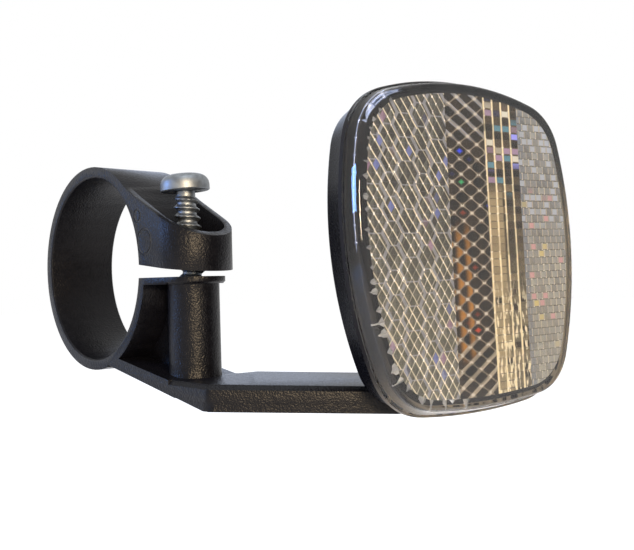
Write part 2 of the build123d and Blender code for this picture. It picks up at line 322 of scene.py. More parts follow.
@dataclass
class Bench:
    """Adds and joins the shader nodes of one tree."""

    tree: bpy.types.NodeTree

    def add(self, kind: str, **settings: object) -> bpy.types.Node:
        """Add a node and set its properties."""
        node = self.tree.nodes.new(kind)
        for key, value in settings.items():
            setattr(node, key, value)
        return node

    def put(self, value: object, socket: Socket) -> None:
        """Link a socket into another, or write a number or colour on it."""
        if isinstance(value, bpy.types.NodeSocket):
            self.tree.links.new(value, socket)
        elif isinstance(value, tuple):
            socket.default_value = (*value, 1.0)
        else:
            socket.default_value = value

    def sum(self, operation: str, *values: object) -> Socket:
        """Work out one arithmetic step.

        Args:
            operation: name of the step, as the Math node has it.
            values: numbers or sockets that go in.

        Returns:
            The result's socket.
        """
        node = self.add("ShaderNodeMath", operation=operation)
        for socket, value in zip(node.inputs, values):
            self.put(value, socket)
        return node.outputs[0]

    def product(self, *values: object) -> Socket:
        """Multiply any number of values."""
        return reduce(lambda first, second: self.sum("MULTIPLY", first, second), values)

    def step(self, value: object, low: float, high: float) -> Socket:
        """Rise smoothly from 0 at low to 1 at high, or fall where low is the larger."""
        node = self.add("ShaderNodeMapRange", interpolation_type="SMOOTHSTEP")
        self.put(value, node.inputs["Value"])
        rising = low < high
        self.put(min(low, high), node.inputs["From Min"])
        self.put(max(low, high), node.inputs["From Max"])
        self.put(0.0 if rising else 1.0, node.inputs["To Min"])
        self.put(1.0 if rising else 0.0, node.inputs["To Max"])
        return node.outputs["Result"]

    def blend(self, factor: object, first: object, second: object) -> Socket:
        """Mix two colours by a mask."""
        node = self.add("ShaderNodeMix", data_type="RGBA")
        self.put(factor, node.inputs[0])
        self.put(first, node.inputs[6])
        self.put(second, node.inputs[7])
        return node.outputs[2]

    def vector(self, operation: str, *values: object) -> bpy.types.Node:
        """Work out one step on places.

        Args:
            operation: name of the step, as the Vector Math node has it.
            values: triples of numbers, or sockets, that go in.

        Returns:
            The step's node, whose outputs are the vector and the number.
        """
        node = self.add("ShaderNodeVectorMath", operation=operation)
        for socket, value in zip(node.inputs, values):
            if isinstance(value, bpy.types.NodeSocket):
                self.put(value, socket)
            else:
                socket.default_value = value
        return node

    def move(self, operation: str, *values: object) -> Socket:
        """Work out one step on places and give its vector."""
        return self.vector(operation, *values).outputs[0]

    def measure(self, operation: str, *values: object) -> Socket:
        """Work out one step on places and give its number."""
        return self.vector(operation, *values).outputs["Value"]

    def object_place(self) -> Socket:
        """Place in Object coordinates, in metres."""
        return self.add("ShaderNodeTexCoord").outputs["Object"]

    def parts(self, place: Socket) -> bpy.types.bpy_prop_collection:
        """Split a place into its X, Y and Z."""
        node = self.add("ShaderNodeSeparateXYZ")
        self.put(place, node.inputs[0])
        return node.outputs

    def chance(self, cell: Socket) -> Socket:
        """Chance value between 0 and 1, the same all over a cell."""
        node = self.add("ShaderNodeTexWhiteNoise", noise_dimensions="3D")
        self.put(cell, node.inputs["Vector"])
        return node.outputs["Value"]

    def bump(
        self, height: Socket, strength: float, depth: float, **settings: object
    ) -> bpy.types.Node:
        """Make a bump node from a height, with its depth in mm."""
        node = self.add("ShaderNodeBump", **settings)
        self.put(strength, node.inputs["Strength"])
        self.put(depth * MM, node.inputs["Distance"])
        self.put(height, node.inputs["Height"])
        return node

    def noise(self, place: Socket, scale: object, detail: float = 2.0) -> Socket:
        """Soft noise between 0 and 1."""
        node = self.add("ShaderNodeTexNoise")
        self.put(place, node.inputs["Vector"])
        self.put(scale, node.inputs["Scale"])
        self.put(detail, node.inputs["Detail"])
        return node.outputs["Fac"]


def new_group(name: str, inputs: dict[str, float], outputs: dict[str, str]) -> Bench:
    """Make an empty shader group with number inputs and the given outputs.

    Args:
        name: name of the group.
        inputs: default value of each number input.
        outputs: socket type of each output.

    Returns:
        A bench on the group's tree, with nodes named in and out.
    """
    group = bpy.data.node_groups.new(name, "ShaderNodeTree")
    for label, value in inputs.items():
        socket = group.interface.new_socket(label, in_out="INPUT", socket_type="NodeSocketFloat")
        socket.default_value = value
    for label, kind in outputs.items():
        group.interface.new_socket(label, in_out="OUTPUT", socket_type=kind)
    group.nodes.new("NodeGroupInput").name = "in"
    group.nodes.new("NodeGroupOutput").name = "out"
    return Bench(group)


def new_material(name: str) -> tuple[Material, Bench, bpy.types.Node]:
    """Make a node material, with a bench on its tree and its shader."""
    material = bpy.data.materials.new(name)
    material.use_nodes = True
    return material, Bench(material.node_tree), material.node_tree.nodes["Principled BSDF"]


def grain_group() -> bpy.types.ShaderNodeTree:
    """Moulded grain: fine and coarse noise on Object coordinates as a height and a mask."""
    bench = new_group(
        "moulded grain",
        {"Fine Scale": 9000.0, "Coarse Scale": 700.0, "Coarse Share": 0.35},
        {"Height": "NodeSocketFloat", "Mask": "NodeSocketFloat"},
    )
    ends = bench.tree.nodes
    place = bench.object_place()
    fine = bench.noise(place, ends["in"].outputs["Fine Scale"], 1.0)
    coarse = bench.noise(place, ends["in"].outputs["Coarse Scale"], 3.0)
    mix = bench.add("ShaderNodeMix")
    bench.put(ends["in"].outputs["Coarse Share"], mix.inputs[0])
    bench.put(fine, mix.inputs[2])
    bench.put(coarse, mix.inputs[3])
    bench.put(mix.outputs[0], ends["out"].inputs["Height"])
    bench.put(coarse, ends["out"].inputs["Mask"])
    return bench.tree


HEX_SCALE = (0.2806, 0.294, 0.0)
HEX_HALF = (0.8660254, 0.5, 0.5)


def hexagon_parts(bench: Bench, place: Socket) -> tuple[Socket, Socket]:
    """Lay hexagons over a map in millimetres.

    The place is scaled so that the hexagons are regular, with an inner radius of a half.
    Their centres form two rectangular lattices, a half repeat apart. The nearer centre
    owns the place; its distance square to the hexagon's sides is a half on the outline.

    Args:
        bench: where the nodes go.
        place: the map's socket.

    Returns:
        A chance value for each hexagon, and a mask of the outlines.
    """
    scaled = bench.move("MULTIPLY", place, HEX_SCALE)
    minus = tuple(-v for v in HEX_HALF)
    even = bench.move("WRAP", scaled, HEX_HALF, minus)
    odd = bench.move("WRAP", bench.move("SUBTRACT", scaled, HEX_HALF), HEX_HALF, minus)
    squares = [bench.measure("DOT_PRODUCT", off, off) for off in (even, odd)]
    choice = bench.add("ShaderNodeMix", data_type="VECTOR")
    bench.put(bench.sum("GREATER_THAN", *squares), choice.inputs[0])
    bench.put(even, choice.inputs[4])
    bench.put(odd, choice.inputs[5])
    own = choice.outputs[1]
    centre = bench.move("DIVIDE", bench.move("SUBTRACT", scaled, own), HEX_HALF)
    number = bench.move("FLOOR", bench.move("ADD", centre, (0.5, 0.5, 0.0)))
    flat = bench.move("MULTIPLY", number, (1.0, 1.0, 0.0))
    size = bench.move("ABSOLUTE", own)
    slanted = bench.measure("DOT_PRODUCT", size, (*HEX_HALF[:2], 0.0))
    level = bench.measure("DOT_PRODUCT", size, (0.0, 1.0, 0.0))
    return bench.chance(flat), bench.step(bench.sum("MAXIMUM", slanted, level), 0.455, 0.49)


def prism_group() -> bpy.types.ShaderNodeTree:
    """Lattice of prism cells, read from the plate's own map in millimetres.

    Two phases rise by one from line to line of the lattice's two families; the
    difference of the phases gives the third family. The distance of a phase to its
    nearest whole number, over the line's width, is an edge value: small on a line.
    """
    labels = ("Edge 1", "Edge 2", "Edge 3", "Node", "Cell", "Share", "Net", "Ring", "Hexagon")
    labels += ("Height", "Across", "Up", "Patch")
    given_values = {"Across 1": 0.65, "Up 1": 0.44, "Across 2": 0.65, "Up 2": -0.44, "Waver": 0.1}
    given_values |= {"Width 1": 0.07, "Width 2": 0.05, "Width 3": 0.04, "Brick": 0.0, "Jog": 0.0}
    bench = new_group("prism lattice", given_values, {label: "NodeSocketFloat" for label in labels})
    given, out = bench.tree.nodes["in"].outputs, bench.tree.nodes["out"].inputs
    place = bench.add("ShaderNodeUVMap", uv_map="face").outputs["UV"]
    parts = bench.parts(place)
    across, up = parts["X"], parts["Y"]
    chance, ring = hexagon_parts(bench, place)
    waver = bench.product(bench.sum("SUBTRACT", bench.noise(place, 0.45), 0.5), given["Waver"])
    phases = []
    for family in ("1", "2"):
        run = bench.sum("MULTIPLY_ADD", across, given[f"Across {family}"], waver)
        phases.append(bench.sum("MULTIPLY_ADD", up, given[f"Up {family}"], run))
    phases[0] = bench.sum("MULTIPLY_ADD", bench.sum("FLOOR", phases[1]), given["Brick"], phases[0])
    phases[0] = bench.sum("MULTIPLY_ADD", chance, given["Jog"], phases[0])
    gaps = []
    for number, phase in enumerate((*phases, bench.sum("SUBTRACT", *phases)), start=1):
        off = bench.sum("ABSOLUTE", bench.sum("SUBTRACT", bench.sum("FRACT", phase), 0.5))
        gaps.append(bench.sum("SUBTRACT", 0.5, off))
        bench.put(bench.sum("DIVIDE", gaps[-1], given[f"Width {number}"]), out[f"Edge {number}"])
    cell = bench.add("ShaderNodeCombineXYZ")
    bench.put(bench.sum("FLOOR", phases[0]), cell.inputs["X"])
    bench.put(bench.sum("FLOOR", phases[1]), cell.inputs["Y"])
    bench.put(bench.chance(cell.outputs[0]), out["Cell"])
    bench.put(bench.step(bench.sum("ADD", gaps[0], gaps[1]), 0.24, 0.12), out["Node"])
    shares = bench.sum("ADD", bench.sum("FRACT", phases[0]), bench.sum("FRACT", phases[1]))
    bench.put(bench.product(shares, 0.5), out["Share"])
    bench.put(bench.step(bench.product(gaps[0], gaps[1]), 0.034, 0.014), out["Net"])
    bench.put(bench.product(bench.sum("MINIMUM", gaps[0], gaps[1]), 2.0), out["Height"])
    bench.put(ring, out["Ring"])
    bench.put(chance, out["Hexagon"])
    bench.put(across, out["Across"])
    bench.put(up, out["Up"])
    bench.put(bench.noise(place, 0.9, 3.0), out["Patch"])
    return bench.tree


GRAIN = grain_group()
LATTICE = prism_group()


@dataclass(frozen=True)
class Finish:
    """What every finish shares: a name, grain scales and the colours that it runs between."""

    name: str
    dark: Colour
    light: Colour
    gloss: tuple[float, float]
    bump: float
    bump_mm: float
    fine: float
    coarse: float

    def start(self) -> tuple[Material, Bench, bpy.types.Node, bpy.types.Node]:
        """Make the material with its shader and its grain joined to roughness and normal.

        Returns:
            The material, a bench on it, its shader and its grain node.
        """
        material, bench, shader = new_material(self.name)
        grain = bench.add("ShaderNodeGroup", node_tree=GRAIN)
        bench.put(self.fine, grain.inputs["Fine Scale"])
        bench.put(self.coarse, grain.inputs["Coarse Scale"])
        rough = bench.add("ShaderNodeMapRange")
        bench.put(grain.outputs["Height"], rough.inputs["Value"])
        bench.put(self.gloss[0], rough.inputs["To Min"])
        bench.put(self.gloss[1], rough.inputs["To Max"])
        bench.put(rough.outputs["Result"], shader.inputs["Roughness"])
        bump = bench.bump(grain.outputs["Height"], self.bump, self.bump_mm)
        bench.put(bump.outputs["Normal"], shader.inputs["Normal"])
        colour = bench.blend(grain.outputs["Mask"], self.dark, self.light)
        bench.put(colour, shader.inputs["Base Color"])
        return material, bench, shader, grain


@dataclass(frozen=True)
class BlackPlastic(Finish):
    """Black moulded plastic with a fine grain, an uneven gloss and, where asked, pin marks."""

    name: str = "bracket plastic"
    sheen: float = 0.15
    dark: Colour = (0.0008, 0.0009, 0.0020)
    light: Colour = (0.0055, 0.0055, 0.0080)
    gloss: tuple[float, float] = (0.24, 0.44)
    bump: float = 1.0
    bump_mm: float = 0.13
    fine: float = 3500.0
    coarse: float = 900.0
    marks: tuple[tuple[float, float, float], ...] = ()
    marked_side: float = -6.2

    def build(self) -> Material:
        """Make the material: a dull dielectric under its grain, with round sunk marks.

        A mark is a ring round a place (y, z) on the side that faces -X: the distance to
        the place, less the radius, is small there, and the bump sinks it.

        Returns:
            The material.
        """
        material, bench, shader, _ = self.start()
        shader.inputs["Specular IOR Level"].default_value = self.sheen
        if not self.marks:
            return material
        place = bench.object_place()
        across = bench.parts(place)["X"]
        side = bench.step(across, (self.marked_side + 0.1) * MM, self.marked_side * MM)
        flat = bench.move("MULTIPLY", place, (0.0, 1.0, 1.0))
        rings: Socket | None = None
        for y, z, radius in self.marks:
            away = bench.measure("DISTANCE", flat, (0.0, y * MM, z * MM))
            off = bench.sum("ABSOLUTE", bench.sum("SUBTRACT", away, radius * MM))
            ring = bench.step(off, 0.26 * MM, 0.05 * MM)
            rings = ring if rings is None else bench.sum("MAXIMUM", rings, ring)
        sunk = bench.bump(bench.product(rings, side), 0.9, 0.25, invert=True)
        bench.put(shader.inputs["Normal"].links[0].from_socket, sunk.inputs["Normal"])
        bench.put(sunk.outputs["Normal"], shader.inputs["Normal"])
        return material


@dataclass(frozen=True)
class SkirtShadeAndLight(Finish):
    """Inside of the lens's skirt: painted shade, black toward the upper left, and painted light,
    beige toward the foot.
    """

    name: str = "skirt painted shade and light"
    dark: Colour = (0.004, 0.004, 0.006)
    light: Colour = (0.012, 0.010, 0.010)
    painted_light_beige: Colour = (0.30, 0.255, 0.19)
    gloss: tuple[float, float] = (0.30, 0.50)
    bump: float = 0.2
    bump_mm: float = 0.05
    fine: float = 1200.0
    coarse: float = 500.0
    toward: Triple = (0.75, 0.0, -0.9)
    reach: float = 16.0
    skin: tuple[float, float] = (1.6, 2.1)

    def build(self) -> Material:
        """Make the material: its share of painted light, beige, rises along a line to the lower
        right and deeper behind the face.
        """
        material, bench, shader, grain = self.start()
        shader.inputs["Specular IOR Level"].default_value = 0.1
        from_middle = bench.move("SUBTRACT", bench.object_place(), FACE_CENTRE)
        toward = bench.measure("DOT_PRODUCT", from_middle, self.toward)
        behind = bench.measure("DOT_PRODUCT", from_middle, tuple(-FACE.axes()[2]))
        # Share of painted light: rises to the lower right and behind the face, in patches;
        # elsewhere the painted shade stays black.
        share = bench.product(
            bench.step(toward, 0.0, self.reach * MM),
            bench.step(behind, self.skin[0] * MM, self.skin[1] * MM),
            bench.sum("MULTIPLY_ADD", grain.outputs["Mask"], 0.8, 0.5),
        )
        black = shader.inputs["Base Color"].links[0].from_socket
        bench.put(bench.blend(share, black, self.painted_light_beige), shader.inputs["Base Color"])
        return material


@dataclass(frozen=True)
class ZincPlate(Finish):
    """Bright zinc-plated steel of the screws."""

    name: str = "zinc plate"
    dark: Colour = (0.09, 0.095, 0.105)
    light: Colour = (0.30, 0.325, 0.345)
    gloss: tuple[float, float] = (0.36, 0.58)
    bump: float = 0.4
    bump_mm: float = 0.04
    fine: float = 4000.0
    coarse: float = 900.0

    def build(self) -> Material:
        """Make the material: plain metal under its grain."""
        material, _, shader, _ = self.start()
        shader.inputs["Metallic"].default_value = 1.0
        return material


@dataclass(frozen=True)
class ClearPlastic(Finish):
    """Clear moulded plastic of the lens."""

    name: str = "clear lens"
    dark: Colour = (0.97, 0.965, 0.93)
    light: Colour = (1.0, 0.995, 0.97)
    gloss: tuple[float, float] = (0.015, 0.04)
    bump: float = 0.12
    bump_mm: float = 0.05
    fine: float = 500.0
    coarse: float = 220.0

    def build(self) -> Material:
        """Make the material: clear, with a faint moulding ripple."""
        material, _, shader, _ = self.start()
        shader.inputs["Transmission Weight"].default_value = 1.0
        shader.inputs["IOR"].default_value = 1.49
        return material


@dataclass(frozen=True)
class BrightFacets(Finish):
    """Silvery look of prism ends, which throw back the light inside the lens."""

    name: str = "bright facets"
    dark: Colour = (0.20, 0.22, 0.27)
    light: Colour = (0.80, 0.79, 0.76)
    gloss: tuple[float, float] = (0.12, 0.30)
    bump: float = 0.2
    bump_mm: float = 0.05
    fine: float = 1500.0
    coarse: float = 900.0

    def build(self) -> Material:
        """Make the material: half metallic, so the facets differ with their slant."""
        material, _, shader, _ = self.start()
        shader.inputs["Metallic"].default_value = 0.5
        return material


@dataclass(frozen=True)
class PaintedGlint:
    """Painted glint: a coloured sparkle of light in some cells of a field, between two heights of
    the face.
    """

    colour: Colour
    low: float
    high: float
    share: tuple[float, float]


@dataclass(frozen=True)
class PaintedLightColumn:
    """Part of a field, from its left side to a place across, with its own colour of painted light.
    """

    end: float
    top: float
    colour: Colour
    share: float


@dataclass(frozen=True)
class PrismField:
    """One upright field of prisms: its limits, lattice and colours. The colours are painted
    reflection: cells, lines, nodes and glints stand in for the light that the prisms throw back.
    """

    name: str
    kind: Band
    low: float
    high: float
    first: tuple[float, float]
    second: tuple[float, float]
    widths: tuple[float, float, float]
    dark: Colour
    light: Colour
    # Colour of the painted shade on the right-hand part of each cell.
    facet_shade: Colour
    facet_shade_share: float
    lines: tuple[Colour, Colour, Colour]
    strengths: tuple[float, float, float]
    lower_strengths: tuple[float, float, float]
    # Colour of the painted highlight on the lattice's nodes.
    node: Colour
    node_share: float
    painted_glints: tuple[PaintedGlint, ...] = ()
    waver: float = 0.1
    brick: float = 0.0
    jog: float = 0.0
    painted_light_column: PaintedLightColumn | None = None
    # Colour and share of the painted light that makes the lower part of a field lighter.
    painted_light_low: Colour = (0.20, 0.19, 0.15)
    painted_light_low_share: float = 0.0
    ring_share: float = 0.0
    ring_colour: Colour = (0.30, 0.31, 0.36)
    # Colour of the painted reflection along the net of lines, where asked.
    net: Colour | None = None
    # Colour of the painted streaks of light over the lower part, where asked.
    painted_streaks: Colour | None = None
    spot: tuple[float, float] = (0.14, 0.34)
    contrast: float = 1.0

    def painted_glint_spots(self, bench: Bench, got: bpy.types.bpy_prop_collection, colour: Socket) -> Socket:
        """Lay the painted glints over a colour: cells picked by chance between two heights.

        Args:
            bench: where the nodes go.
            got: outputs of the lattice.
            colour: the colour so far.

        Returns:
            The new colour.
        """
        for glint in self.painted_glints:
            above = bench.step(got["Up"], glint.low - 1.5, glint.low + 1.5)
            below = bench.step(got["Up"], glint.high + 1.5, glint.high - 1.5)
            first = bench.step(got["Cell"], glint.share[0] - 0.01, glint.share[0] + 0.01)
            last = bench.step(got["Cell"], glint.share[1] + 0.01, glint.share[1] - 0.01)
            spot = bench.step(got["Height"], *self.spot)
            mask = bench.product(above, below, first, last, spot)
            colour = bench.blend(mask, colour, glint.colour)
        return colour

    def painted_bars(self, bench: Bench, got: bpy.types.bpy_prop_collection, colour: Socket) -> Socket:
        """Lay painted pale slanting bars of light over both ends of a field of drawn-out corners.

        Args:
            bench: where the nodes go.
            got: outputs of the lattice.
            colour: the colour so far.

        Returns:
            The new colour.
        """
        painted_bars = (
            ("Edge 1", 15.0, 16.5, (0.30, 0.31, 0.35)),
            ("Edge 2", -13.5, -15.0, (0.40, 0.35, 0.28)),
        )
        for edge, start, end, bar in painted_bars:
            mask = bench.product(
                bench.step(got[edge], 5.2, 4.4),
                bench.step(got["Up"], start, end),
                bench.sum("MULTIPLY_ADD", got["Cell"], 0.6, 0.4),
            )
            colour = bench.blend(mask, colour, bar)
        return colour

    def build(self) -> Material:
        """Make the field's material from the shared lattice.

        Cells take a colour between dark and light by chance, and the right-hand part of each
        cell takes a painted facet shade. Over it lie the painted light of the lower part, the
        painted light column, the outlines of hexagons, the painted glints, the painted streaks,
        the net, the painted bars, the three families of lines and the painted highlights on
        the nodes. All these colours are painted reflection of the prisms.

        Returns:
            The material.
        """
        material, bench, shader = new_material(self.name)
        lattice = bench.add("ShaderNodeGroup", node_tree=LATTICE)
        values = (*self.first, *self.second, self.waver, *self.widths, self.brick, self.jog)
        for socket, value in zip(lattice.inputs, values):
            bench.put(value, socket)
        got = lattice.outputs
        # Cell colours by chance between dark and light: painted reflection of the prisms.
        colour = bench.blend(bench.sum("POWER", got["Cell"], self.contrast), self.dark, self.light)
        # Painted shade on the right-hand part of each cell, as on a facet turned from the light.
        facet_shade = bench.product(bench.step(got["Share"], 0.46, 0.56), self.facet_shade_share)
        colour = bench.blend(facet_shade, colour, self.facet_shade)
        fade = bench.step(got["Up"], 6.0, -12.0)
        # Painted light: the lower part of the field is lighter, fading out upward, unevenly in
        # patches.
        lower = bench.product(fade, self.painted_light_low_share, got["Patch"])
        colour = bench.blend(lower, colour, self.painted_light_low)
        # Painted light: a tinted column along the field's left side, below a given height.
        if self.painted_light_column:
            end, top = self.painted_light_column.end, self.painted_light_column.top
            masks = [bench.step(got["Across"], end + 0.2, end - 0.2)]
            masks.append(bench.step(got["Up"], top + 2.0, top - 2.0))
            if self.kind is Band.DIAMOND:
                masks.append(bench.step(got["Share"], 0.40, 0.72))
                masks.append(bench.step(got["Up"], -18.0, -15.0))
            masks.append(bench.sum("MULTIPLY_ADD", got["Cell"], 0.5, 0.6))
            left = bench.product(*masks, self.painted_light_column.share)
            colour = bench.blend(left, colour, self.painted_light_column.colour)
        # Outlines of the hexagons, in a painted bluish reflection.
        ring = bench.product(got["Ring"], self.ring_share)
        colour = bench.blend(ring, colour, self.ring_colour)
        # Painted glints: coloured sparkles of light in cells picked by chance.
        colour = self.painted_glint_spots(bench, got, colour)
        # Painted streaks of light, drawn out upright, over the lower part of the field.
        if self.painted_streaks:
            place = bench.add("ShaderNodeUVMap", uv_map="face").outputs["UV"]
            drawn = bench.noise(bench.move("MULTIPLY", place, (2.1, 0.55, 0.0)), 1.0, 1.0)
            streak = bench.product(
                bench.step(drawn, 0.52, 0.62), bench.step(got["Up"], -4.0, -12.0), 0.9
            )
            colour = bench.blend(streak, colour, self.painted_streaks)
        # Painted reflection along the net of lines, brighter in patches.
        if self.net:
            net = bench.product(got["Net"], bench.sum("MULTIPLY_ADD", got["Patch"], 0.8, 0.3))
            colour = bench.blend(net, colour, self.net)
        # Painted pale bars of light at both ends of the dark field.
        if self.kind is Band.DIAMOND:
            colour = self.painted_bars(bench, got, colour)
        # The three families of lines, in painted reflection, broken up in patches.
        lot = bench.product(bench.sum("ADD", got["Hexagon"], got["Cell"]), 0.65)
        broken = bench.sum("MULTIPLY_ADD", got["Patch"], 0.5, lot)
        for number in (2, 1, 0):
            span = self.lower_strengths[number] - self.strengths[number]
            strength = bench.sum("MULTIPLY_ADD", fade, span, self.strengths[number])
            line = bench.step(got[f"Edge {number + 1}"], 1.5, 0.5)
            clamp = bench.add("ShaderNodeClamp")
            bench.put(bench.product(line, strength, broken), clamp.inputs[0])
            colour = bench.blend(clamp.outputs[0], colour, self.lines[number])
        # Painted highlight: bright dots on the nodes of cells picked by chance.
        lit = bench.step(got["Cell"], 1.0 - self.node_share - 0.02, 1.0 - self.node_share + 0.02)
        colour = bench.blend(bench.product(got["Node"], lit), colour, self.node)
        bench.put(colour, shader.inputs["Base Color"])
        bench.put(bench.sum("MULTIPLY_ADD", got["Patch"], 0.3, 0.2), shader.inputs["Roughness"])
        bump = bench.bump(got["Height"], 0.5, 0.3)
        bench.put(bump.outputs["Normal"], shader.inputs["Normal"])
        shader.inputs["Specular IOR Level"].default_value = 0.15
        return material


# Sub-assemblies


@dataclass
class BracketMoulding:
    """The one-piece bracket: its solid, with the small roundings of a moulding."""

    edge: float = 0.16
    edge_angle: float = 28.0
    finish: BlackPlastic = BlackPlastic(marks=((-16.0, 8.1, 0.95), (-18.0, 3.8, 2.0)))

    def build(self) -> Piece:
        """Copy the solid, join its flats and round its edges.

        Returns:
            The bracket's piece.
        """
        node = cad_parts["bracket"]
        mesh = node.data.copy()
        mesh.name = "bracket_moulding"
        mesh.materials.clear()
        work = bmesh.new()
        work.from_mesh(mesh)
        bmesh.ops.remove_doubles(work, verts=work.verts, dist=0.004 * MM)
        bmesh.ops.dissolve_limit(
            work, angle_limit=math.radians(0.2), verts=work.verts, edges=work.edges
        )
        work.to_mesh(mesh)
        work.free()
        mesh.polygons.foreach_set("use_smooth", np.full(len(mesh.polygons), True))
        piece = bpy.data.objects.new("bracket_moulding", mesh)
        bpy.context.scene.collection.objects.link(piece)
        soften(piece, self.edge * MM, self.edge_angle)
        piece.data.materials.append(self.finish.build())
        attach(piece, "holder")
        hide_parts("bracket")
        return piece


@dataclass
class ShellCup:
    """Black shell behind the lens: a cup whose wall draws in toward its back."""

    rim_depth: float = 3.6
    depth: float = 4.8
    inset: float = 0.3
    draft: float = 1.05
    wall: float = 1.5
    back: float = 1.5
    edge_r: float = 0.7
    finish: BlackPlastic = BlackPlastic(
        name="shell plastic", gloss=(0.22, 0.32), bump=0.15, sheen=0.05
    )

    def build(self) -> Piece:
        """Carry the cup's section round its outline, from the inner floor to the outer back.

        Returns:
            The shell's piece.
        """
        rim, back = self.rim_depth, self.rim_depth + self.depth
        floor = back - self.back
        inner = self.inset + self.draft + self.wall
        lip = self.inset + self.wall
        rings = [(FLANGE, inner, floor, scale) for scale in (0.4, 0.8, 1.0)]
        rings += [
            (FLANGE, lip, rim + 0.08, 1.0),
            (FLANGE, lip - 0.08, rim, 1.0),
            (FLANGE, self.inset + 0.12, rim, 1.0),
            (FLANGE, self.inset, rim + 0.12, 1.0),
        ]
        for t in np.linspace(0.0, math.radians(85), 6):
            inset = self.inset + self.draft + self.edge_r * (1.0 - math.cos(t))
            rings.append((FLANGE, inset, back - self.edge_r * (1.0 - math.sin(t)), 1.0))
        rings += [(FLANGE, inner, back, scale) for scale in (1.0, 0.8, 0.4)]
        points, faces = ring_stack(rings)
        piece = make_piece("shell_cup", points, faces)
        face_outward(piece, WELD)
        piece.data.set_sharp_from_angle(angle=math.radians(50))
        piece.data.materials.append(self.finish.build())
        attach(piece, "holder")
        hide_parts("reflector_shell")
        return piece


@dataclass
class ClearLens:
    """Clear lens: smooth face, drafted side, flange and skirt."""

    face_t: float = 1.5
    body_depth: float = 2.6
    flange_t: float = 1.0
    foot_inset: float = 0.35
    skirt_t: float = 1.4
    edge_r: float = 0.6
    finish: ClearPlastic = ClearPlastic()
    # Painted shade and painted light on the inside of the skirt.
    skirt_shade_and_light: SkirtShadeAndLight = SkirtShadeAndLight()

    def build(self) -> Piece:
        """Carry the lens's section round its outline.

        The section runs from the middle of the face over its rounded edge, down the
        drafted side to the flange, round it, and up the inside of the skirt to the
        middle of the face's back. Steps of 0.08 to 0.12 mm break its edges. From the foot
        inward it has a material of painted shade and painted light instead of clear plastic.

        Returns:
            The lens's piece.
        """
        rim = self.body_depth + self.flange_t
        inner = self.foot_inset + self.skirt_t
        rings = [(FRONT, self.edge_r, 0.0, scale) for scale in (0.3, 0.7)]
        for t in np.linspace(math.radians(90), 0.0, 8):
            inset = self.edge_r * (1.0 - math.cos(t))
            rings.append((FRONT, inset, self.edge_r * (1.0 - math.sin(t)), 1.0))
        rings += [
            (FLANGE, self.foot_inset, self.body_depth - 0.1, 1.0),
            (FLANGE, self.foot_inset - 0.08, self.body_depth, 1.0),
            (FLANGE, 0.12, self.body_depth, 1.0),
            (FLANGE, 0.0, self.body_depth + 0.12, 1.0),
            (FLANGE, 0.0, rim - 0.1, 1.0),
            (FLANGE, 0.1, rim, 1.0),
            (FLANGE, inner - 0.1, rim, 1.0),
            (FLANGE, inner, rim - 0.1, 1.0),
            (FLANGE, inner + 0.1, self.face_t + 0.1, 1.0),
            (FLANGE, inner + 0.2, self.face_t, 1.0),
        ]
        foot = len(rings) - 7
        rings += [(FLANGE, inner + 0.2, self.face_t, scale) for scale in (0.7, 0.3)]
        points, faces = ring_stack(rings)
        piece = make_piece("clear_lens", points, faces)
        # Faces from the foot inward take the painted shade and light instead of clear plastic.
        around = len(faces[1])
        inside = np.arange(len(piece.data.polygons)) // around
        inside = (inside >= foot) & (inside != len(rings) - 1)
        piece.data.polygons.foreach_set("material_index", inside.astype(np.int32))
        face_outward(piece, WELD)
        piece.data.set_sharp_from_angle(angle=math.radians(40))
        piece.data.materials.append(self.finish.build())
        piece.data.materials.append(self.skirt_shade_and_light.build())
        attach(piece, "holder")
        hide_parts("reflector_lens")
        return piece


@dataclass
class PrismPlate:
    """The prisms behind the lens's face, as four upright fields of a thin plate whose colours are
    painted reflection.
    """

    depth: float = 1.42
    thickness: float = 0.14
    slant: float = 0.0315
    rows: int = 36
    columns: int = 40

    def ends(self, u: Array) -> tuple[Array, Array]:
        """Lowest and highest place of the plate on upright lines that lean with its fields.

        The outline's points are moved onto leaning lines, split at the outline's widest
        height, and read off between neighbours.

        Args:
            u: places of the lines at the face's middle height.

        Returns:
            Lowest and highest places above the centre, in mm.
        """
        a, b = PLATE.line()
        line = a - self.slant * b
        found = []
        for half in (b < PLATE.widest, b >= PLATE.widest):
            order = np.argsort(line[half])
            found.append(np.interp(u, line[half][order], b[half][order]))
        return found[0], found[1]

    def build(self, prism: PrismField) -> Piece:
        """Make one field as a closed slab with a map in millimetres.

        Its front is a grid over (u, t): u runs across the field and t from its lowest to
        its highest place there. The back is the same grid, a thickness further in.

        Args:
            prism: the field to make.

        Returns:
            The field's piece.
        """
        a, b = PLATE.line()
        line = a - self.slant * b
        low = max(prism.low, float(line.min()) + 0.01)
        high = min(prism.high, float(line.max()) - 0.01)
        share = 0.5 - 0.5 * np.cos(np.linspace(0.0, math.pi, self.columns))
        u = low + (high - low) * share
        bottom, top = self.ends(u)
        t = np.linspace(0.0, 1.0, self.rows)
        up = bottom[:, None] + (top - bottom)[:, None] * t[None, :]
        up = np.concatenate([up, up[:, ::-1]], axis=1)
        across = np.broadcast_to(u[:, None], up.shape)
        depth = np.repeat([self.depth, self.depth + self.thickness], self.rows)
        points = FACE.place(across + self.slant * up, up, depth)
        ring = 2 * self.rows
        caps = [np.arange(ring)[None, ::-1], np.arange(ring)[None, :] + (self.columns - 1) * ring]
        faces = [grid_faces(self.columns, ring), *caps]
        piece = make_piece(prism.name.replace(" ", "_"), points, faces, False)
        layer = piece.data.uv_layers.new(name="face")
        corner = np.empty(len(piece.data.loops), dtype=np.int64)
        piece.data.loops.foreach_get("vertex_index", corner)
        flat = np.stack([across.ravel(), up.ravel()], axis=-1)
        layer.data.foreach_set("uv", flat[corner].ravel())
        face_outward(piece)
        piece.data.materials.append(prism.build())
        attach(piece, "holder")
        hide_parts("reflector_lens")
        return piece
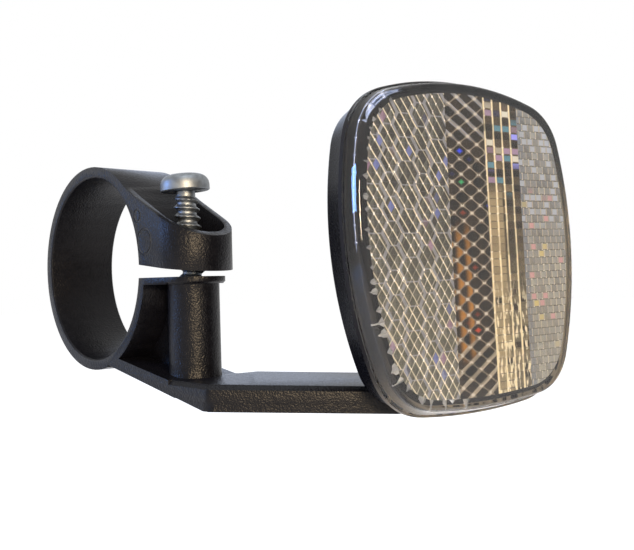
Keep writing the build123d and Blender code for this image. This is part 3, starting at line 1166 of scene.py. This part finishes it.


# Colours of the four fields: painted reflection, painted highlight and painted shade, laid over the
# real lattice of the prisms.
FIELDS = (
    PrismField(
        name="prism field left",
        kind=Band.HEX,
        low=-24.0,
        high=-4.39,
        first=(0.648, 0.435),
        second=(0.648, -0.445),
        widths=(0.085, 0.06, 0.04),
        dark=(0.030, 0.030, 0.028),
        light=(0.135, 0.132, 0.120),
        facet_shade=(0.050, 0.050, 0.047),
        facet_shade_share=0.6,
        lines=((0.74, 0.67, 0.52), (0.52, 0.49, 0.41), (0.18, 0.18, 0.20)),
        strengths=(1.0, 0.12, 0.45),
        lower_strengths=(0.85, 0.9, 0.30),
        node=(1.0, 0.96, 0.92),
        node_share=0.35,
        painted_glints=(
            PaintedGlint((0.16, 0.20, 0.55), -20.0, 20.0, (0.30, 0.312)),
            PaintedGlint((0.36, 0.22, 0.36), -20.0, 20.0, (0.50, 0.512)),
        ),
        waver=0.18,
        jog=0.3,
        painted_light_low=(0.20, 0.195, 0.155),
        painted_light_low_share=0.8,
        ring_share=0.75,
    ),
    PrismField(
        name="prism field dark",
        kind=Band.DIAMOND,
        low=-4.39,
        high=3.46,
        first=(0.273, 0.433),
        second=(0.273, -0.433),
        widths=(0.035, 0.035, 0.01),
        dark=(0.004, 0.003, 0.002),
        light=(0.030, 0.020, 0.012),
        facet_shade=(0.018, 0.012, 0.008),
        facet_shade_share=0.6,
        lines=((0.34, 0.29, 0.22), (0.32, 0.28, 0.22), (0.20, 0.18, 0.15)),
        strengths=(0.58, 0.48, 0.0),
        lower_strengths=(0.26, 0.33, 0.0),
        node=(0.56, 0.52, 0.46),
        node_share=0.8,
        net=(0.20, 0.165, 0.125),
        spot=(0.50, 0.90),
        painted_glints=(
            PaintedGlint((0.02, 0.06, 0.95), 5.0, 16.0, (0.05, 0.24)),
            PaintedGlint((0.04, 0.42, 0.14), 6.0, 20.0, (0.42, 0.50)),
            PaintedGlint((0.60, 0.08, 0.03), 5.0, 14.0, (0.62, 0.68)),
            PaintedGlint((0.50, 0.06, 0.02), -15.0, 0.0, (0.54, 0.60)),
        ),
        waver=0.14,
        painted_light_column=PaintedLightColumn(-0.7, 2.0, (0.42, 0.19, 0.035), 1.0),
    ),
    PrismField(
        name="prism field bright",
        kind=Band.ROOF,
        low=3.46,
        high=10.87,
        first=(0.54, 0.0),
        second=(0.0, 0.872),
        widths=(0.09, 0.05, 0.01),
        dark=(0.008, 0.005, 0.003),
        light=(0.20, 0.15, 0.09),
        facet_shade=(0.06, 0.045, 0.028),
        facet_shade_share=0.3,
        lines=((0.80, 0.71, 0.49), (0.09, 0.075, 0.055), (0.2, 0.2, 0.2)),
        strengths=(1.0, 0.9, 0.0),
        lower_strengths=(1.5, 0.8, 0.0),
        node=(0.9, 0.85, 0.72),
        node_share=0.25,
        contrast=2.5,
        painted_streaks=(0.86, 0.78, 0.58),
        painted_glints=(
            PaintedGlint((0.30, 0.32, 0.95), 12.0, 21.0, (0.10, 0.26)),
            PaintedGlint((0.10, 0.24, 0.34), 8.0, 19.0, (0.45, 0.56)),
            PaintedGlint((0.34, 0.24, 0.40), 8.0, 21.0, (0.70, 0.80)),
            PaintedGlint((0.66, 0.65, 0.60), 9.0, 22.0, (0.88, 0.98)),
            # A dark painted glint: painted shade in some cells of the lower part.
            PaintedGlint((0.03, 0.02, 0.012), -24.0, -5.0, (0.62, 0.76)),
        ),
        waver=0.05,
        painted_light_column=PaintedLightColumn(6.75, 8.0, (0.36, 0.29, 0.18), 1.0),
        painted_light_low=(0.50, 0.43, 0.29),
        painted_light_low_share=0.55,
    ),
    PrismField(
        name="prism field right",
        kind=Band.PYRAMID,
        low=10.87,
        high=24.0,
        first=(0.752, 0.0),
        second=(0.0, 0.903),
        widths=(0.07, 0.06, 0.01),
        dark=(0.16, 0.165, 0.17),
        light=(0.32, 0.325, 0.33),
        facet_shade=(0.24, 0.26, 0.30),
        facet_shade_share=0.4,
        lines=((0.52, 0.47, 0.36), (0.09, 0.085, 0.075), (0.2, 0.2, 0.2)),
        strengths=(0.7, 0.9, 0.0),
        lower_strengths=(0.7, 1.1, 0.0),
        node=(0.70, 0.67, 0.58),
        node_share=0.2,
        painted_glints=(
            PaintedGlint((0.62, 0.50, 0.18), -20.0, 8.0, (0.90, 0.93)),
            PaintedGlint((0.52, 0.30, 0.32), -18.0, 8.0, (0.30, 0.35)),
            PaintedGlint((0.38, 0.42, 0.52), 3.0, 20.0, (0.50, 0.75)),
        ),
        waver=0.06,
        brick=0.37,
        painted_light_column=PaintedLightColumn(12.0, 24.0, (0.16, 0.185, 0.24), 0.75),
        painted_light_low=(0.35, 0.325, 0.26),
        painted_light_low_share=0.7,
    ),
)


@dataclass
class PrismEnds:
    """Clear wedges where the rows of prisms end, and beside them a thin bead that is a painted blue
    highlight.
    """

    spacing: float = 2.35
    out: float = 0.8
    width: float = 1.6
    depth: tuple[float, float] = (0.85, 2.0)
    span: tuple[float, float] = (math.radians(118), math.radians(262))
    bead_out: float = 0.95
    bead_r: float = 0.17
    bead_depth: float = 1.9
    bead_end: float = math.radians(188)
    bead_steps: int = 160
    bead_sides: int = 10
    seed: int = 7
    variation: tuple[float, float] = (0.55, 1.25)
    growth: tuple[float, float] = (0.65, 1.05)
    longest: float = 1.2

    def track(self) -> tuple[Array, Array, Array, Array]:
        """The plate's outline in order of direction: its run, directions and places."""
        a, b = PLATE.line()
        turn = np.arctan2(b, a) % TURN
        order = np.argsort(turn)
        a, b = a[order], b[order]
        return np.cumsum(np.hypot(np.gradient(a), np.gradient(b))), turn[order], a, b

    def wedges(self, finish: Material) -> Piece:
        """Set one wedge after another along the plate's outline.

        A wedge has three corners on the outline and one off it: its point stands out
        from the outline, square to it. Sizes vary by chance and grow toward the foot.

        Args:
            finish: the wedges' material.

        Returns:
            The wedges' piece.
        """
        run, turn, a, b = self.track()
        first, last = np.interp(self.span, turn, run)
        lot = np.random.default_rng(self.seed).uniform(*self.variation, (4, 200))
        at = first + np.cumsum(lot[3]) * self.spacing
        at = at[at < last]
        lot = lot[:, : len(at)]
        grow = self.growth[0] + self.growth[1] * (at - first) / (last - first)
        half = self.width / 2 * lot[0] * grow
        (la, lb), (ma, mb), (ra, rb) = (
            (np.interp(at + shift, run, a), np.interp(at + shift, run, b))
            for shift in (-half, half * 0.0, half)
        )
        length = np.hypot(ra - la, rb - lb)
        reach = np.minimum(self.out * lot[1] * grow, self.longest)
        out_a, out_b = (rb - lb) / length * reach, -(ra - la) / length * reach
        top, low = self.depth
        foot = np.full_like(ma, low)
        corners_d = np.stack([foot, foot, np.full_like(ma, top), (top + low) / 2 * lot[2]], axis=1)
        corners_a = np.stack([la, ra, ma, ma + out_a], axis=1)
        corners_b = np.stack([lb, rb, mb, mb + out_b], axis=1)
        faces = np.array([[0, 1, 2], [0, 3, 1], [1, 3, 2], [2, 3, 0]])
        faces = (faces[None] + 4 * np.arange(len(at))[:, None, None]).reshape(-1, 3)
        points = FACE.place(corners_a, corners_b, corners_d)
        piece = make_piece("prism_ends", points, [faces], False)
        return self.finish_piece(piece, finish)

    def bead(self, finish: Material) -> Piece:
        """Run a thin bead round the upper left of the plate, a little outside it, as a painted blue
        highlight.

        Its section is a circle whose radius swells at each row's end, and shrinks to a
        point at both ends of the run.

        Args:
            finish: the bead's material.

        Returns:
            The bead's piece.
        """
        run, turn, a, b = self.track()
        first, last = np.interp((self.span[0], self.bead_end), turn, run)
        at = np.linspace(first, last, self.bead_steps)
        place_a, place_b = np.interp(at, run, a), np.interp(at, run, b)
        along = np.stack([np.gradient(place_a), np.gradient(place_b)])
        out_a, out_b = np.stack([along[1], -along[0]]) / np.hypot(*along)
        swell = 1.0 + 1.3 * np.clip(1.0 - np.abs((at / self.spacing) % 1.0 - 0.5) * 9.0, 0.0, 1.0)
        ends = np.clip(np.minimum(at - first, last - at) / 3.0, 0.02, 1.0)
        r = (self.bead_r * swell * ends)[:, None]
        way = np.linspace(0.0, TURN, self.bead_sides, endpoint=False)[None, :]
        off = self.bead_out + r * np.cos(way)
        points = FACE.place(
            place_a[:, None] + out_a[:, None] * off,
            place_b[:, None] + out_b[:, None] * off,
            self.bead_depth + r * np.sin(way),
        )
        ring = np.arange(self.bead_sides)
        caps = [ring[None, ::-1], ring[None, :] + (self.bead_steps - 1) * self.bead_sides]
        faces = [grid_faces(self.bead_steps, self.bead_sides), *caps]
        piece = make_piece("painted_highlight_bead", points, faces)
        return self.finish_piece(piece, finish)

    def finish_piece(self, piece: Piece, finish: Material) -> Piece:
        """Face a piece outward, dress it and hang it on the lens."""
        face_outward(piece, 0.0)
        piece.data.materials.append(finish)
        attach(piece, "holder")
        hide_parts("reflector_lens")
        return piece


@dataclass
class PanHeadScrew:
    """Pan-head self-tapping screw with a cross recess and a helical thread."""

    name: str
    node: str
    body: str
    foot: Triple
    up: Triple
    under: float
    length: float
    head_r: float = 3.95
    head_h: float = 2.7
    head_flat_r: float = 2.0
    head_side_h: float = 1.0
    thread_r: float = 2.08
    core_r: float = 1.5
    pitch: float = 1.4
    tip_l: float = 2.2
    tip_r: float = 0.15
    recess_half: float = 2.2
    recess_slot: float = 0.52
    recess_depth: float = 1.6
    recess_wall: float = 0.16
    seat_gap: float = 0.02
    valley: float = 0.28
    flank: float = 0.60
    around: int = 96
    top_rings: int = 40
    pitch_steps: int = 14

    def profile_top(self, r: Array, angle: Array) -> Array:
        """Height of the head's top above its underside, with the cross recess sunk in it.

        The dome is a flat disc that falls as an ellipse to the head's upright rim. The
        recess is two crossed slots whose depth fades smoothly at their walls.

        Args:
            r: distances from the axis, in mm.
            angle: directions round the axis, in radians.

        Returns:
            Heights in mm.
        """
        share = np.clip((r - self.head_flat_r) / (self.head_r - self.head_flat_r), 0.0, 1.0)
        dome = self.head_side_h + (self.head_h - self.head_side_h) * np.sqrt(1.0 - share**2)
        x, y = np.abs(r * np.cos(angle)), np.abs(r * np.sin(angle))

        def inside(long: Array, short: Array) -> Array:
            """Share of the recess's depth in one slot, from 0 outside it to 1 within."""
            ends = np.clip((self.recess_half - long) / self.recess_wall, 0.0, 1.0)
            sides = np.clip((self.recess_slot - short) / self.recess_wall, 0.0, 1.0)
            return np.minimum(ends, sides)

        depth = np.maximum(inside(x, y), inside(y, x)) * self.recess_depth
        depth = depth * np.clip(1.25 - r / self.recess_half, 0.15, 1.0)
        return dome - depth

    def build(self, finish: Material) -> Piece:
        """Compute head and shank as one surface round the screw's axis.

        The head's top is a disc of rings; its rim and underside lead to the shank, whose
        radius is the core plus a ridge that climbs one pitch for each turn, and which
        narrows to the tip.

        Args:
            finish: the screw's material.

        Returns:
            The screw's piece.
        """
        angle = np.linspace(0.0, TURN, self.around, endpoint=False)
        top_r = np.linspace(0.02, self.head_r, self.top_rings)
        r_top = np.repeat(top_r[:, None], self.around, axis=1)
        z_top = self.profile_top(r_top, angle[None, :])
        z_under = np.array([self.head_side_h * 0.5, 0.14, self.seat_gap, self.seat_gap])
        r_under = np.array([self.head_r, self.head_r, self.head_r - 0.12, self.core_r + 0.25])
        steps = int(self.length / self.pitch * self.pitch_steps)
        z_shank = -np.linspace(0.12, self.length, steps)
        phase = z_shank[:, None] / self.pitch + angle[None, :] / TURN
        wave = 1.0 - 2.0 * np.abs((phase % 1.0) - 0.5)
        ridge = np.clip((wave - self.valley) / self.flank, 0.0, 1.0)
        run_in = np.clip((-z_shank - 0.5) / self.pitch, 0.0, 1.0)[:, None]
        to_tip = np.clip((z_shank + self.length) / self.tip_l, 0.0, 1.0)[:, None]
        core = self.tip_r + (self.core_r - self.tip_r) * to_tip
        r_shank = core + (self.thread_r - self.core_r) * ridge * run_in * np.sqrt(to_tip)
        r = np.concatenate([r_top, np.repeat(r_under[:, None], self.around, axis=1), r_shank])
        z_rest = np.concatenate([z_under, z_shank])[:, None]
        z = np.concatenate([z_top, np.repeat(z_rest, self.around, axis=1)])
        up = Vector(self.up).normalized()
        side = up.orthogonal().normalized()
        other = up.cross(side)
        across = r * np.cos(angle)
        along = r * np.sin(angle)
        points = (
            np.outer(across.ravel(), np.array(side))
            + np.outer(along.ravel(), np.array(other))
            + np.outer(z.ravel() + self.under, np.array(up))
            + np.array(self.foot)
        ) * MM
        tips = [self.under + z_top[0, 0], self.under - self.length]
        ends = (np.array(self.foot) + np.outer(tips, np.array(up))) * MM
        faces = tube_faces(len(r), self.around)
        piece = make_piece(self.name, np.concatenate([points, ends]), faces)
        face_outward(piece, WELD)
        piece.data.set_sharp_from_angle(angle=math.radians(40))
        piece.data.materials.append(finish)
        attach(piece, self.body)
        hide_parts(self.node)
        return piece


@dataclass(frozen=True)
class ClampLine:
    """Line of the raised clamp screw, which leans in its upright bore."""

    foot: Triple = (0.0, -22.2, -4.3)
    lean: float = 3.4
    side: float = 137.85
    pocket_floor: float = 1.9
    seat_sink: float = 0.3
    lift: float = 10.25
    length: float = 19.0

    def up(self) -> Triple:
        """Direction of the line, from the screw's tip to its head."""
        lean, side = math.radians(self.lean), math.radians(self.side)
        flat = math.sin(lean)
        return flat * math.cos(side), flat * math.sin(side), math.cos(lean)

    def under(self) -> float:
        """Distance from the foot to the raised head's underside, in mm."""
        rise = self.pocket_floor - self.seat_sink - self.foot[2]
        return rise / math.cos(math.radians(self.lean)) + self.lift


@dataclass(frozen=True)
class FixingLine:
    """Line of the hidden fixing screw, square to the reflector from behind the pad."""

    height: float = -2.0
    behind: float = 11.4
    length: float = 6.5

    def foot(self) -> Triple:
        """Middle of the head's underside, in mm."""
        spot = FACE.place(np.zeros(1), np.full(1, self.height), np.full(1, self.behind))
        return tuple(spot[0] / MM)


# Studio


@dataclass(frozen=True)
class Lamp:
    """One square soft lamp: its place and size in metres, power in watts and colour."""

    name: str
    place: Triple
    size: float
    power: float
    colour: Colour


LAMPS = (
    Lamp("cool window", (-0.62, 0.46, 0.20), 0.18, 2.9, (0.20, 0.42, 1.0)),
    Lamp("warm front", (-0.31, -0.64, 0.14), 0.15, 6.2, (1.0, 0.76, 0.48)),
    Lamp("rear sky", (0.36, 0.60, 0.26), 0.40, 0.5, (0.45, 0.62, 1.0)),
    Lamp("top", (-0.10, -0.25, 0.80), 0.60, 2.6, (0.86, 0.93, 1.0)),
)


@dataclass(frozen=True)
class Studio:
    """Camera at the photograph's angle, pale floor and soft lamps."""

    picture_w: int = 634
    focal_px: float = 850.0
    eye: Triple = (-77.21, -137.23, -3.57)
    right: Triple = (0.7414, -0.6706, -0.0256)
    up: Triple = (0.0125, -0.0243, 0.9996)
    floor_drop: float = 70.0
    floor_half: float = 3.0
    floor_colour: Colour = (0.86, 0.86, 0.86)
    floor_glow: float = 0.80
    level_colour: Colour = (0.74, 0.74, 0.75)
    level: float = 0.36
    aim: Triple = (0.015, -0.03, 0.0)

    def camera(self) -> None:
        """Place the camera where the photograph was taken from."""
        data = bpy.data.cameras.new("camera")
        data.sensor_width = 36.0
        data.lens = self.focal_px / self.picture_w * data.sensor_width
        data.clip_start = 0.005
        data.clip_end = 20.0
        right = Vector(self.right).normalized()
        back = right.cross(Vector(self.up)).normalized()
        up = back.cross(right)
        turn = Matrix((right, up, back)).transposed().to_4x4()
        camera = bpy.data.objects.new("camera", data)
        camera.matrix_world = Matrix.Translation(Vector(self.eye) * MM) @ turn
        bpy.context.scene.collection.objects.link(camera)
        bpy.context.scene.camera = camera

    def seen(self, bench: Bench) -> Socket:
        """Mask of the rays that see the white background: camera, glossy and transmission."""
        path = bench.add("ShaderNodeLightPath").outputs
        mask = path["Is Camera Ray"]
        for ray in ("Is Glossy Ray", "Is Transmission Ray"):
            mask = bench.sum("MAXIMUM", mask, path[ray])
        return mask

    def floor(self) -> None:
        """Lay a plain pale floor below the object."""
        low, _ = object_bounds()
        size, z = self.floor_half, low[2] - self.floor_drop * MM
        corners = np.array([[-size, -size, z], [size, -size, z], [size, size, z], [-size, size, z]])
        floor = make_piece("floor", corners, [np.array([[0, 1, 2, 3]])])
        material, bench, shader = new_material("pale floor")
        shader.inputs["Roughness"].default_value = 0.9
        shader.inputs["Specular IOR Level"].default_value = 0.0
        bench.put(self.floor_colour, shader.inputs["Base Color"])
        bench.put((1.0, 1.0, 1.0), shader.inputs["Emission Color"])
        glow = bench.product(self.seen(bench), self.floor_glow)
        bench.put(glow, shader.inputs["Emission Strength"])
        floor.data.materials.append(material)
        floor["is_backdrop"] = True

    def world(self) -> None:
        """White surroundings to look at, and a plain soft level of light on the object."""
        world = bpy.data.worlds.new("studio")
        bpy.context.scene.world = world
        world.use_nodes = True
        bench = Bench(world.node_tree)
        ground = world.node_tree.nodes["Background"]
        bench.put(self.level_colour, ground.inputs["Color"])
        bench.put(self.level, ground.inputs["Strength"])
        white = bench.add("ShaderNodeBackground")
        bench.put((1.0, 1.0, 1.0), white.inputs["Color"])
        mix = bench.add("ShaderNodeMixShader")
        bench.put(self.seen(bench), mix.inputs["Fac"])
        bench.put(ground.outputs["Background"], mix.inputs[1])
        bench.put(white.outputs["Background"], mix.inputs[2])
        bench.put(mix.outputs["Shader"], world.node_tree.nodes["World Output"].inputs["Surface"])

    def hang(self, lamp: Lamp) -> None:
        """Hang a lamp so that it faces the object."""
        data = bpy.data.lights.new(lamp.name, "AREA")
        data.shape = "SQUARE"
        data.size = lamp.size
        data.energy = lamp.power
        data.color = lamp.colour
        hung = bpy.data.objects.new(lamp.name, data)
        hung.location = lamp.place
        hung.rotation_mode = "QUATERNION"
        away = Vector(lamp.place) - Vector(self.aim)
        hung.rotation_quaternion = away.to_track_quat("Z", "Y")
        hung.visible_camera = False
        bpy.context.scene.collection.objects.link(hung)

    def build(self) -> None:
        """Set up the whole studio."""
        bpy.context.scene.view_settings.view_transform = "Standard"
        self.camera()
        self.floor()
        self.world()
        for lamp in LAMPS:
            self.hang(lamp)


def main() -> None:
    """Build every piece, dress it and report it."""
    logging.basicConfig(level=logging.INFO, format="%(message)s")
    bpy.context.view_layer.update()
    zinc = ZincPlate().build()
    clamp, fixing = ClampLine(), FixingLine()
    inward = tuple(-FACE.axes()[2])
    # Bluish half-metal finish of the bead: a painted highlight.
    lit = BrightFacets(name="painted highlight bead", dark=(0.10, 0.16, 0.34), light=(0.50, 0.58, 0.85))
    pieces = [
        BracketMoulding().build(),
        ShellCup().build(),
        ClearLens().build(),
        *(PrismPlate().build(prism) for prism in FIELDS),
        PrismEnds().wedges(BrightFacets().build()),
        PrismEnds().bead(lit.build()),
        PanHeadScrew(
            "clamp_screw_zinc",
            "clamp_screw",
            "screw",
            clamp.foot,
            clamp.up(),
            clamp.under(),
            clamp.length,
        ).build(zinc),
        PanHeadScrew(
            "fixing_screw_zinc", "fixing_screw", "holder", fixing.foot(), inward, 0.0, fixing.length
        ).build(zinc),
    ]
    for piece in pieces:
        LOG.info("%s: %d faces", piece.name, len(piece.data.polygons))
    Studio().build()


if __name__ == "__main__":
    main()
